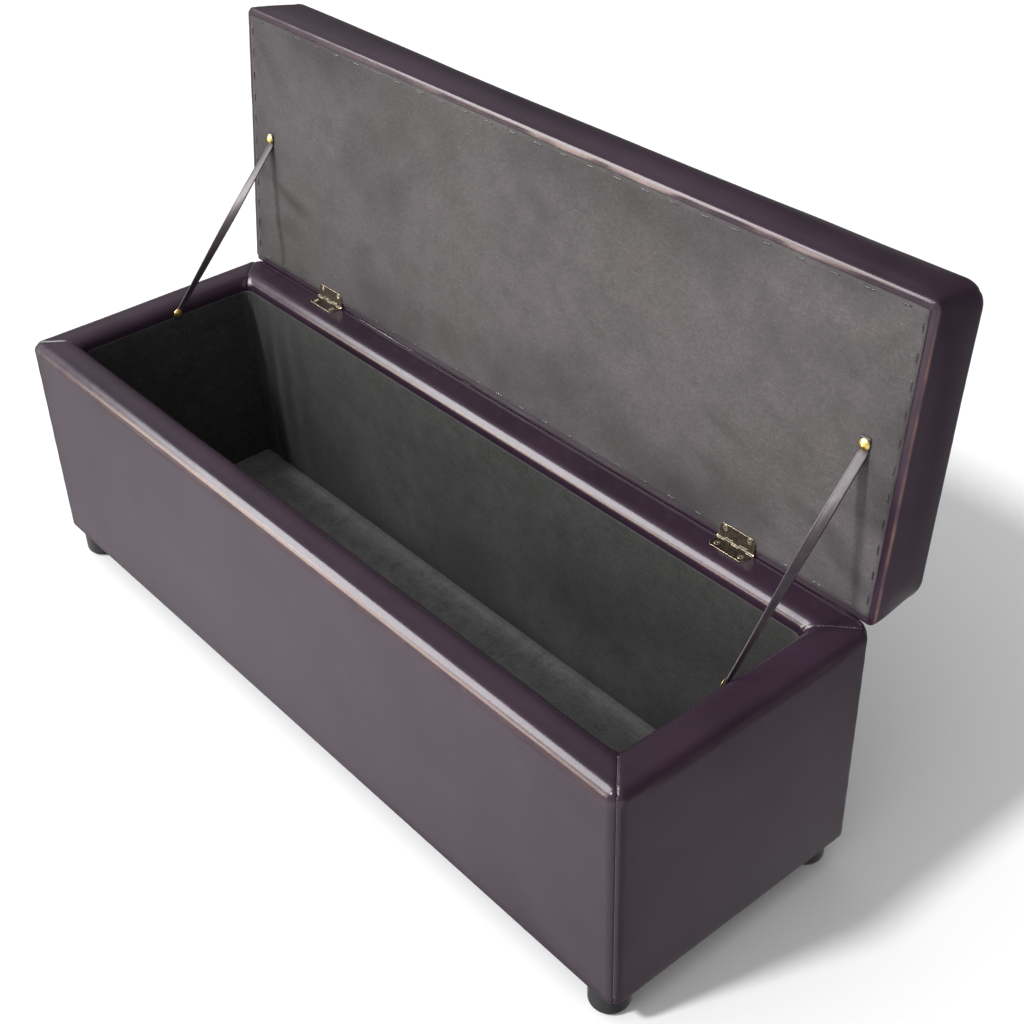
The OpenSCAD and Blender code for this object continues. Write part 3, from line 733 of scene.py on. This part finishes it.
def box_depth(row, station, p):
    """How far the stuffed skin stands off its plain form, in metres."""
    gap = station.to_mitre(row)
    groove = -SEAM_GROOVE * bell(gap, 1.8 * MM)
    gathers = 0.1 * MM * bell(gap, 16 * MM) * math.sin(p.z / (5.5 * MM)) * smooth(gap / (2 * MM))
    if row.part == "face":
        up = clamp((p.z - SKIN_LOW_Z) / (RIM_Z - SKIN_LOW_Z))
        bulge = 1.5 * MM * (1 - (2 * up - 1) ** 4) * (1 - abs(station.share) ** 6)
        slow = 0.55 * MM * waves(p.x, p.y, p.z * 0.6, 0.19) + 0.16 * MM * waves(*p, 0.055)
        return max(-0.2 * MM, bulge + slow + 0.4 * MM) * smooth(gap / (18 * MM)) + groove + gathers
    if row.part in ("rim", "edge", "roll"):
        soft = 0.25 * MM * waves(*p, 0.07) + 0.35 * MM * waves(*p, 0.23)
        pucker = 0.6 * MM * bell(gap, 22 * MM) * waves(*p, 0.014)
        crest = (row.inset - RIM_EDGE) / (FOLD_IN - ROLL_IN - RIM_EDGE)
        rise = ROLL_RISE * smooth(crest) * smooth((p.z - RIM_Z + ROLL_DEEP) / ROLL_DEEP)
        if row.part == "edge" and station.side == "back":
            up = (row.height - RIM_Z + RIM_EDGE) / RIM_EDGE
            rise = corner_fill(up, RIM_EDGE, 4.3 * MM) * smooth(gap / (12 * MM))
        return 0.3 * MM + rise + soft * smooth(gap / (10 * MM)) + pucker * smooth(gap / (3 * MM)) + groove
    return 0.0


def mitre_crossings(line):
    """The short stitches that tie off a mitre seam at its inner end and near the outer edge."""
    crossings = []
    for at, half in ((0, 2.3 * MM), (len(line) * 2 // 3, 1.4 * MM)):
        point, normal = line[at]
        run = (line[min(at + 1, len(line) - 1)][0] - line[max(at - 1, 0)][0]).normalized()
        wide = run.cross(normal).normalized()
        crossings.append((point - wide * half, point + wide * half, normal))
    return crossings


def make_box_covers(materials):
    skin = Skin(box_rows(), make_stations(HALF_W, HALF_D, BOX_CELL, ARC_STEPS), wear_and_highlight=BOX_WEAR_AND_HIGHLIGHT)
    skin.shift(Matrix.Translation((0, MID_Y, 0)))
    skin.push(box_depth)
    for side in SIDES:
        cover = thicken(skin.piece("padded_cover_" + side, side), SKIN_T)
        dress(cover, "box", materials["leatherette"])
        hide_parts("cover_" + side, "wall_foam_" + side)
    corners = {"right": "front_right", "back": "back_right", "left": "back_left", "front": "front_left"}
    parts = [row.part for row in skin.rows]
    face_from, rim_from, rim_to = parts.index("face"), parts.index("edge") + 5, parts.index("roll") + 4
    for side, corner in corners.items():
        column = skin.column(side)
        across = column[rim_from:rim_to][::-1]
        thread = stitch_lines("seam_thread_" + corner, [column[face_from:rim_from], across], pitch=3.4 * MM,
                              radius=0.3 * MM, cover=0.86, crossings=mitre_crossings(across))
        dress(thread, "box", materials["thread"])


# ---- The lid's padded cover ----

LID_FOLD_EDGE = 4.2 * MM
SEAT_EDGE = 25 * MM
SEAT_CROWN = 3.0 * MM
LID_CELL = 8 * MM
LID_BAND_ROWS = 9
SEAT_SHELF = 60 * MM
# The same for the lid; its right side takes the full film, a painted highlight along that fold.
LID_WEAR_AND_HIGHLIGHT = {"front": 0.2, "back": 0.3, "left": 0.3}
STUFFING = {
    "quality": 5, "mass": 0.4, "tension_stiffness": 40, "compression_stiffness": 30, "shear_stiffness": 20,
    "bending_stiffness": 8, "use_pressure": True, "uniform_pressure_force": 2.5, "vertex_group_mass": "held",
}
STUFFING_FRAMES = 18
STUFFING_CAP = 3.5 * MM


def lid_plan_radius(height, inset=0.0):
    """Corner radius of the lid's skin: tight at the underside, full at the seat's edge."""
    up = smooth((height - LID_LOW.z) / (LID_HIGH.z - SEAT_EDGE - LID_LOW.z))
    return max(3 * MM, 9 * MM + 17 * MM * up - inset)


def lid_rows():
    low, high = LID_LOW.z, LID_HIGH.z
    rows = [Row(i * MM, 4 * MM, low, 0, "under") for i in (28, 22, 17, 13, 10)]
    # This row and the fold's arc carry edge marks for the copper film, partly a painted highlight.
    rows.append(Row(LID_FOLD_EDGE, lid_plan_radius(low, LID_FOLD_EDGE), low, 0.1, "under"))
    rows += arc_rows(LID_FOLD_EDGE, low + LID_FOLD_EDGE, LID_FOLD_EDGE, LID_FOLD_EDGE, -90, 0, 8,
                     lambda inset: lid_plan_radius(low, inset), lambda t: bell(t - 0.5, 0.22), "fold_edge")
    band_from, band_to = low + LID_FOLD_EDGE, high - SEAT_EDGE
    for i in range(1, LID_BAND_ROWS + 1):
        z = band_from + (band_to - band_from) * i / LID_BAND_ROWS
        rows.append(Row(0, lid_plan_radius(z), z, 0, "band"))
    rows += arc_rows(SEAT_EDGE, band_to, SEAT_EDGE, SEAT_EDGE, 0, 90, 10,
                     lambda inset: lid_plan_radius(high, inset), lambda t: 0.0, "seat_edge")
    for i in range(1, 5):
        rows.append(Row(SEAT_EDGE + (SEAT_SHELF - SEAT_EDGE) * i / 4, 3 * MM, high, 0, "seat"))
    return rows


def lid_depth(row, station, p):
    gap = station.to_mitre(row)
    groove = -SEAM_GROOVE * bell(gap, 2.0 * MM)
    if row.part == "band":
        band_from = LID_LOW.z + LID_FOLD_EDGE
        up = clamp((p.z - band_from) / (LID_HIGH.z - SEAT_EDGE - band_from))
        full = 2.0 * MM if station.side == "back" else 4.2 * MM
        bulge = full * math.sin(math.pi * clamp(0.15 + 0.85 * up)) * smooth(gap / (40 * MM))
        return bulge + 0.35 * MM * waves(*p, 0.11) * smooth(gap / (12 * MM)) + groove
    if row.part == "fold_edge":
        pulls = 0.3 * MM * waves(p.x, p.y, 0, 0.032) + 0.5 * MM * waves(p.x, p.y, 3, 0.095)
        calm = 0.4 if station.side == "back" else 1.0
        up = 1 - (row.height - LID_LOW.z) / LID_FOLD_EDGE
        fill = corner_fill(up, LID_FOLD_EDGE, 1.2 * MM) if station.side == "back" else 0.0
        return fill + calm * pulls * smooth(gap / (8 * MM)) + 0.5 * groove
    if row.part == "seat_edge":
        fade = 1 - row.inset / SEAT_EDGE
        return 0.5 * MM * waves(*p, 0.12) + groove * smooth(fade)
    return 0.0


def seat_lift(x, y):
    """How far the stuffed seat crowns above its edge at a place on the lid."""
    u, v = clamp(abs(x) / HALF_W), clamp(abs(y - LID_MID_Y) / LID_HALF_D)
    crown = SEAT_CROWN * (1 - u ** 4) * (1 - v ** 3)
    return crown + 0.6 * MM * waves(x, y, 0, 0.21) + 0.15 * MM * waves(x, y, 5, 0.06)


def seat_patch(skin):
    """The quads that close the seat inside its last row, whose corners are nearly square."""
    last = len(skin.rows) - 1
    runs = {}
    for side in SIDES:
        count = sum(s.side == side for s in skin.stations)
        runs[side] = [skin.index(last, skin.start(side) + k) for k in range(count + 1)]
    front, right = runs["front"], runs["right"]
    back, left = runs["back"][::-1], runs["left"][::-1]
    wide, deep = len(front), len(right)
    extra, grid = [], [front]
    for j in range(1, deep - 1):
        line = [left[j]]
        for i in range(1, wide - 1):
            line.append(len(skin.points) + len(extra))
            extra.append(Vector((skin.points[front[i]].x, skin.points[left[j]].y, LID_HIGH.z)))
        grid.append(line + [right[j]])
    grid.append(back)
    quads = [
        (grid[j][i], grid[j][i + 1], grid[j + 1][i + 1], grid[j + 1][i])
        for j in range(deep - 1) for i in range(wide - 1)
    ]
    return extra, quads


def inflate(piece, held):
    """Blows the skin up with a cloth simulation, holding the points in held, and keeps a capped share."""
    scene = bpy.context.scene
    group = piece.vertex_groups.new(name="held")
    for index, weight in held.items():
        group.add([index], weight, "REPLACE")
    cloth = piece.modifiers.new("stuffing", "CLOTH")
    for key, value in STUFFING.items():
        setattr(cloth.settings, key, value)
    cloth.settings.effector_weights.gravity = 0
    cloth.collision_settings.use_collision = False
    cloth.point_cache.frame_start = 1
    cloth.point_cache.frame_end = STUFFING_FRAMES
    for f in range(1, STUFFING_FRAMES + 1):
        scene.frame_set(f)
    blown = piece.evaluated_get(bpy.context.evaluated_depsgraph_get())
    places = [v.co.copy() for v in blown.data.vertices]
    piece.modifiers.remove(cloth)
    for vertex, place in zip(piece.data.vertices, places):
        move = place - vertex.co
        vertex.co += move * min(1, STUFFING_CAP / max(move.length, 1e-9))
    piece.vertex_groups.remove(group)
    piece.data.update()
    scene.frame_set(1)


def make_lid_cover(materials):
    skin = Skin(lid_rows(), make_stations(HALF_W, LID_HALF_D, LID_CELL, ARC_STEPS), wear_and_highlight=LID_WEAR_AND_HIGHLIGHT)
    skin.shift(Matrix.Translation((0, LID_MID_Y, 0)))
    skin.push(lid_depth)
    extra, quads = seat_patch(skin)
    blend_in = 1.5 * MM
    top = LID_HIGH.z - blend_in
    for points in (skin.points, extra):
        for i, p in enumerate(points):
            if p.z > top:
                points[i] = p + Vector((0, 0, seat_lift(p.x, p.y) * smooth((p.z - top) / blend_in)))
    cover = skin.piece("padded_lid_cover", seam_reach=12 * MM, extra_faces=quads, extra_points=extra)
    held = {}
    for i in range(len(skin.points)):
        row, station = skin.at(i)
        if row.part in ("under", "fold_edge") or station.side == "back" and row.part == "band":
            held[i] = 1.0
        elif station.to_mitre(row) < 4 * MM and row.part != "seat":
            held[i] = 0.9
    inflate(cover, held)
    cover.data.transform(LID)
    thicken(cover, SKIN_T)
    dress(cover, "lid", materials["leatherette"])
    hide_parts("lid_cover", "lid_foam")


# ---- Linings ----

LINING_TOP_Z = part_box("lining_right")[1].z
LINING_T = 1.2 * MM
LINING_ROWS = 45
FLOOR_CLOTH_T, DUST_COVER_T = 2.4 * MM, 0.5 * MM
FLOOR_CELL, DUST_CELL, LID_LINING_CELL = 9 * MM, 10 * MM, 5 * MM


def up_wall(z):
    """Height on an inner wall, from 0 at the floor to 1 at the lining's top."""
    return clamp((z - FLOOR_PAD_Z) / (LINING_TOP_Z - FLOOR_PAD_Z))


def lining_radius(height):
    up = up_wall(height)
    return 6 * MM + 7.5 * MM * smooth(up * 1.6 - 0.6)


def lining_rows():
    hem = 1.0 * MM
    low = FLOOR_PAD_Z - 1 * MM
    rows = []
    for i in range(LINING_ROWS):
        z = low + (LINING_TOP_Z - hem - low) * i / (LINING_ROWS - 1)
        rows.append(Row(LINING_IN, lining_radius(z), z, 0, "wall"))
    rows += arc_rows(LINING_IN - hem, LINING_TOP_Z - hem, -hem, hem, 0, 110, 5,
                     lambda inset: lining_radius(LINING_TOP_Z), lambda t: bell(t - 0.5, 0.45), "hem")
    return rows


def corner_folds(gap, p):
    """Upright folds beside the back left corner, from 0 to 1, at a distance gap from it."""
    up = up_wall(p.z)
    lean = (16 * MM + 7 * MM * waves(p.z, 0, 2, 0.07)) * (1 - up)
    return [share * bell(gap - at * MM - lean, width * MM)
            for at, share, width in ((26, 1.0, 9), (58, 0.75, 12), (98, 0.47, 16))]


def lining_painted_shade(side, p):
    """Painted shade on the wall lining: darker in patches low on the wall, and between the corner's folds."""
    up = up_wall(p.z)
    patches = clamp(0.55 + 1.2 * waves(p.x * 0.6, p.y * 0.6, p.z, 0.11))
    low = 0.95 * smooth(1.15 - up) * patches + 0.3 * bell(up, 0.12)
    if side != "back":
        return 0.3 * low
    gap = p.x + HALF_W - LINING_IN
    troughs = max(corner_folds(gap - 15 * MM, p)) * smooth(1.3 - up)
    return clamp(low + 0.9 * troughs)


def lining_depth(row, station, p):
    """How far the slack lining stands off the wall into the box."""
    if row.part == "hem":
        return 0.0
    gap = station.to_mitre(row)
    down = smooth((LINING_TOP_Z - p.z) / (90 * MM))
    low = smooth((p.z - FLOOR_PAD_Z) / (40 * MM))
    slack = (0.8 + 0.8 * waves(p.x, p.y, p.z * 0.35, 0.06) + 0.6 * waves(*p, 0.024)) * MM
    folds = 0.0
    if station.side == "back" and p.x < 0:
        folds = 3.4 * MM * sum(corner_folds(gap, p))
    return (slack + folds) * down * (0.35 + 0.65 * low) * smooth(gap / (6 * MM))


def make_linings(materials):
    skin = Skin(lining_rows(), make_stations(HALF_W, HALF_D, BOX_CELL, 5), inward=True)
    skin.shift(Matrix.Translation((0, MID_Y, 0)))
    skin.push(lining_depth)
    for side in SIDES:
        sheet = skin.piece("lining_sheet_" + side, side, seam_reach=10 * MM)
        # Painted shade on the wall lining, stored on its points as a mark.
        layer = sheet.data.attributes.new("shade_and_mottle", "FLOAT", "POINT")
        layer.data.foreach_set("value", [lining_painted_shade(side, v.co) for v in sheet.data.vertices])
        thicken(sheet, LINING_T)
        dress(sheet, "box", materials["lining"])
        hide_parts("lining_" + side)


def flat_sheet(name, low, high, z, cell, height_of, shade_and_mottle_of=lambda x, y: 0.0, up=True):
    """A grid between two corners, each point lifted by height_of(x, y) and marked for painted shade by the second
    function at (x, y).
    """
    nx, ny = round((high.x - low.x) / cell), round((high.y - low.y) / cell)
    points, shade_and_mottle = [], []
    for j in range(ny + 1):
        for i in range(nx + 1):
            x, y = low.x + (high.x - low.x) * i / nx, low.y + (high.y - low.y) * j / ny
            points.append((x, y, z + height_of(x, y)))
            shade_and_mottle.append(shade_and_mottle_of(x, y))
    firsts = [j * (nx + 1) + i for j in range(ny) for i in range(nx)]
    faces = [(a, a + 1, a + nx + 2, a + nx + 1)[::1 if up else -1] for a in firsts]
    return mesh_piece(name, points, faces, {"shade_and_mottle": shade_and_mottle})


def make_floor_pad(materials):
    low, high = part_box("floor_pad")

    def lift(x, y):
        turned_up = 1.6 * MM * bell(rim_distance(low, high, x, y), 5 * MM)
        return 0.3 * MM + 0.7 * MM * waves(x, y, 2, 0.09) + 0.25 * MM * waves(x, y, 7, 0.03) + turned_up

    pad = flat_sheet("floor_sheet", low, high, high.z, FLOOR_CELL, lift)
    thicken(pad, FLOOR_CLOTH_T)
    dress(pad, "box", materials["floor_lining"])
    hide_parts("floor_pad")


def make_dust_cover(materials):
    low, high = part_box("dust_cover")

    def sag(x, y):
        loose = smooth(rim_distance(low, high, x, y) / (60 * MM))
        return -loose * MM * (0.9 + 1.0 * waves(x, y, 4, 0.11) + 0.45 * waves(x, y * 3, 9, 0.06))

    sheet = flat_sheet("dust_sheet", low, high, low.z + 0.3 * MM, DUST_CELL, sag, up=False)
    thicken(sheet, DUST_COVER_T)
    dress(sheet, "box", materials["dust_cover"])
    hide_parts("dust_cover")


# ---- The lining stretched under the lid ----

def middle_x(node):
    low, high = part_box(node)
    return (low.x + high.x) / 2


HINGE_X = middle_x("hinge_right_lid_leaf")
TACK_X = middle_x("strap_right")
STAPLE_IN = 4 * MM
TACK_REACH = 185 * MM
STAPLE_PITCH_LONG, STAPLE_PITCH_SHORT = 42 * MM, 30 * MM


def staple_places():
    """Where the staples pin the lining, in the lid's frame, along its four edges."""
    half_w = LID_LINING_HIGH.x - STAPLE_IN
    half_d = (LID_LINING_HIGH.y - LID_LINING_LOW.y) / 2 - STAPLE_IN
    edges = ((half_w, half_d, STAPLE_PITCH_LONG, False), (half_d, half_w, STAPLE_PITCH_SHORT, True))
    places = []
    for half, other, pitch, turned in edges:
        count = round(2 * half / pitch)
        for k in range(count):
            at = (k + 0.5 - count / 2) * 2 * half / count
            for side in (-1, 1):
                places.append((side * other, at + LID_MID_Y) if turned else (at, side * other + LID_MID_Y))
    return places


def make_lid_lining(materials):
    low, high = LID_LINING_LOW, LID_LINING_HIGH
    staples = staple_places()

    def folds(x, y):
        """Diagonal pulls in the cloth, from -1 to 1: rays from the corners and drag lines at two of them."""
        near_x, near_y = HALF_W - abs(x), min(y - low.y, high.y - y)
        rays = math.sin(10 * math.atan2(near_y + 15 * MM, near_x + 15 * MM))
        pull = 0.5 * bell(math.hypot(near_x, near_y) - 85 * MM, 60 * MM) * rays
        drag = 1.7 * waves((x + 0.25 * y) * 0.2, 0.25 * x - y, 4, 0.021)
        right_low = drag * bell(math.hypot(x - 0.43, 1.4 * (y + 0.08)), 0.13)
        left_low = drag * bell(math.hypot(x + 0.47, y + 0.09), 0.08)
        return 0.6 * pull + right_low + left_low

    def wrinkle(x, y):
        """Depth into the lid. The slack middle stands off it, and staples, hinge leaves and tacks hold it down."""
        rim = rim_distance(low, high, x, y)
        pinned = sum(bell(math.hypot(x - sx, y - sy), 6 * MM) for sx, sy in staples
                     if abs(x - sx) < 18 * MM and abs(y - sy) < 18 * MM)
        middle = smooth((rim - 24 * MM) / (60 * MM))
        slack = middle * MM * (1.2 + 1.1 * waves(x, y, 1, 0.16) + 0.9 * waves(x * 0.7, y, 5, 0.05))
        ripples = 0.28 * MM * bell(rim - 16 * MM, 14 * MM) * waves(x, y, 9, 0.021)
        pulls = 1.1 * MM * folds(x, y) * smooth(rim / (20 * MM))
        loose = slack + (ripples + pulls) * smooth(rim / (3 * MM))
        leaf = max(bell(abs(x) - HINGE_X, 34 * MM) * bell(y + 10 * MM, 26 * MM) - 0.3, 0.0)
        tack = bell(math.hypot(abs(x) - TACK_X, y + TACK_REACH), 20 * MM)
        depth = 0.45 * MM * pinned - loose * (1 - min(1.0, 1.6 * leaf + 1.2 * tack))
        return clamp(depth, -0.25 * MM - 2.5 * MM * middle, 0.75 * MM)

    def shade_and_mottle_of(x, y):
        """Painted shade, with some mottle: darker along the border, in random clouds, at the left and between the
        folds.
        """
        rim = rim_distance(low, high, x, y)
        border = 0.5 * bell(rim - 10 * MM, 50 * MM) * clamp(0.55 + 1.3 * waves(x * 0.7, y, 3, 0.12))
        clouds = 0.6 * clamp(0.1 + waves(x * 0.55, y, 8, 0.10) + 0.5 * waves(x * 0.7, y, 2, 0.035))
        # Painted shade: the lid lining is darker towards its left end.
        left = 0.36 * bell(x + HALF_W, 0.3)
        return clamp(border + clouds + left + 0.75 * max(0.0, folds(x, y)))

    sheet = flat_sheet("lid_lining_sheet", low, high, low.z, LID_LINING_CELL, wrinkle, shade_and_mottle_of, up=False)
    sheet.data.transform(LID)
    thicken(sheet, high.z - low.z - 0.1 * MM)
    dress(sheet, "lid", materials["lid_lining"])
    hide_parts("lid_lining")


# ---- Straps ----

STRAP_W = 13 * MM
STRAP_T = 1.6 * MM
STRAP_TAB = 8 * MM
STRAP_ROOM = 0.3 * MM
STRAP_RINGS = 60
STRAP_END_RINGS = 6
STITCH_IN = 1.7 * MM
STITCH_SINK = 0.2 * MM


def strap_route(x):
    """Rings up the strap, from below the box tack to above the lid's: middle, run, turn and share of the way."""
    tack_low, tack_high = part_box("strap_box_tacks")
    foot = Vector((x, (tack_low.y + tack_high.y) / 2, (tack_low.z + tack_high.z) / 2))
    plane = LID_LINING_LOW.z - STRAP_ROOM - STRAP_T / 2
    bend = LID @ Vector((x, -TACK_REACH + STRAP_TAB, plane))
    end = LID @ Vector((x, -TACK_REACH - STRAP_TAB, plane))
    run = (bend - foot).normalized()
    start = foot - run * STRAP_TAB
    route = []
    for i in range(STRAP_RINGS + 1):
        t = i / STRAP_RINGS
        route.append((start.lerp(bend, t), run, -math.pi / 2 * smooth(t), t))
    lid_run = (end - bend).normalized()
    for i in range(1, STRAP_END_RINGS + 1):
        route.append((bend.lerp(end, i / STRAP_END_RINGS), lid_run, -math.pi / 2, 1.0))
    return route


def strap_axes(run, turn):
    """The ways that the strap's width and thickness point, with its width turned about its run."""
    edge = Vector((0, -run.z, run.y))
    wide = edge * math.cos(turn) + Vector((math.sin(turn), 0, 0))
    return wide.normalized(), wide.cross(run).normalized()


def make_strap(side, materials):
    route = strap_route(-TACK_X if side == "left" else TACK_X)
    points, edge = [], []
    half_w, half_t, bevel = STRAP_W / 2, STRAP_T / 2, 0.45 * MM
    section = [(-half_w, -half_t + bevel), (-half_w + bevel, -half_t),
               (-half_w + STITCH_IN, -half_t + STITCH_SINK), (-half_w + 2 * STITCH_IN, -half_t),
               (half_w - 2 * STITCH_IN, -half_t), (half_w - STITCH_IN, -half_t + STITCH_SINK),
               (half_w - bevel, -half_t), (half_w, -half_t + bevel)]
    section += [(-u, -v) for u, v in section]
    count = len(section)
    lines = [[], [], [], []]
    for point, run, turn, share in route:
        wide, thick = strap_axes(run, turn)
        curl = 0.58 + 0.34 * smooth(share * 1.2)
        for k, (u, v) in enumerate(section):
            points.append(point + wide * u * curl + thick * v)
            # The flat middle between the stitch rows is marked for the paler film: partly wear, partly a painted
            # highlight on the strap's face.
            edge.append(1.0 if k % (count // 2) in (3, 4) else 0.0)
        for n, (u, face) in enumerate(((-1, -1), (1, -1), (-1, 1), (1, 1))):
            spot = point + wide * u * curl * (half_w - STITCH_IN) + thick * face * (half_t - 0.15 * MM)
            lines[n].append((spot, thick * face))
    strap = mesh_piece("strap_band_" + side, points, tube_faces(0, len(route), count), {"edge": edge})
    sewn = stitch_lines("strap_stitches_" + side, lines, pitch=2.7 * MM, radius=0.2 * MM, cover=0.78)
    dress(strap, None, materials["strap"])
    dress(sewn, None, materials["strap_thread"])
    fold_from, fold_to = route[2][0], route[round(STRAP_RINGS * 0.8)][0]
    for piece in (strap, sewn):
        tuple(fold_from)
        tuple(fold_to)
        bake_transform(piece)
    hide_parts("strap_" + side)
    length = sum((b[0] - a[0]).length for a, b in zip(route, route[1:]))


# ---- The CAD nodes that stay ----


# For each material, how the names of its nodes start. The first match counts.
NODE_LOOKS = {
    "board": ("panel_", "bottom_board", "lid_deck"),
    "timber_z": ("post_",),
    "timber_x": ("top_rail_front", "top_rail_back", "bottom_rail_front", "bottom_rail_back",
                 "lid_rail_front", "lid_rail_back"),
    "timber_y": ("top_rail_", "bottom_rail_", "lid_rail_"),
    "steel": ("foot_bolts", "foot_inserts", "underside_staples"),
    "foot": ("foot_",),
    "staple": ("lid_staples",),
    "pin_brass": ("hinge_left_pin", "hinge_right_pin"),
    "screw": ("hinge_box_screws", "hinge_lid_screws"),
    "antique_brass": ("hinge_",),
    "brass": ("strap_box_tacks", "strap_lid_tacks"),
}


def finish_nodes(materials):
    for name, node in NODES.items():
        look = next((look for look, starts in NODE_LOOKS.items() if name.startswith(starts)), None)
        if look:
            for place in node.material_slots:
                place.material = materials[look]


def main():
    add_camera()
    add_lights()
    add_floor()
    materials = make_materials()
    make_box_covers(materials)
    make_lid_cover(materials)
    make_linings(materials)
    make_floor_pad(materials)
    make_dust_cover(materials)
    make_lid_lining(materials)
    for side in ("left", "right"):
        make_strap(side, materials)
    finish_nodes(materials)


main()
